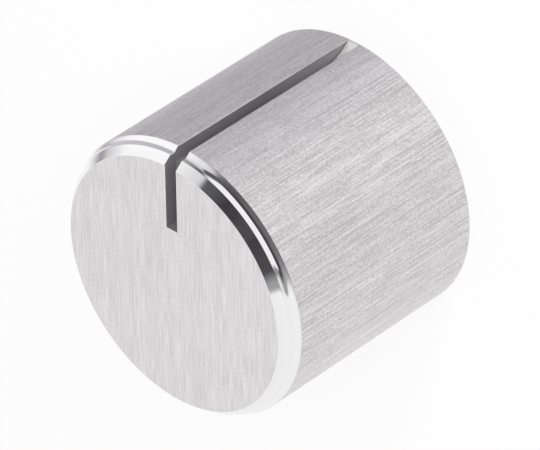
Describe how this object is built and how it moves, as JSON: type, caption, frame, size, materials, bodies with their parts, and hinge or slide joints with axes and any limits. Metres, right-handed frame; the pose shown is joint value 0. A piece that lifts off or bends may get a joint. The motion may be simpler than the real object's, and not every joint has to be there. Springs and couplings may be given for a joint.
{
  "type": "potentiometer knob",
  "caption": "Round solid aluminium control knob with a brushed face, bright-cut rim and slotted pointer line, held on a plain round shaft by a grub screw.",
  "frame": {"origin": "centre of the rear face, on the shaft axis", "axes": "+Z along the shaft axis towards the front face, +Y towards the pointer slot on the side"},
  "size_m": [0.023, 0.023, 0.02],
  "materials": {
    "knob_aluminium": "brushed face and side, bright-cut rim, dark paint in the slot",
    "grub_steel": "black oxide"
  },
  "bodies": {
    "root": {"knob_body": "knob_aluminium", "grub_screw": "grub_steel"}
  },
  "joints": []
}
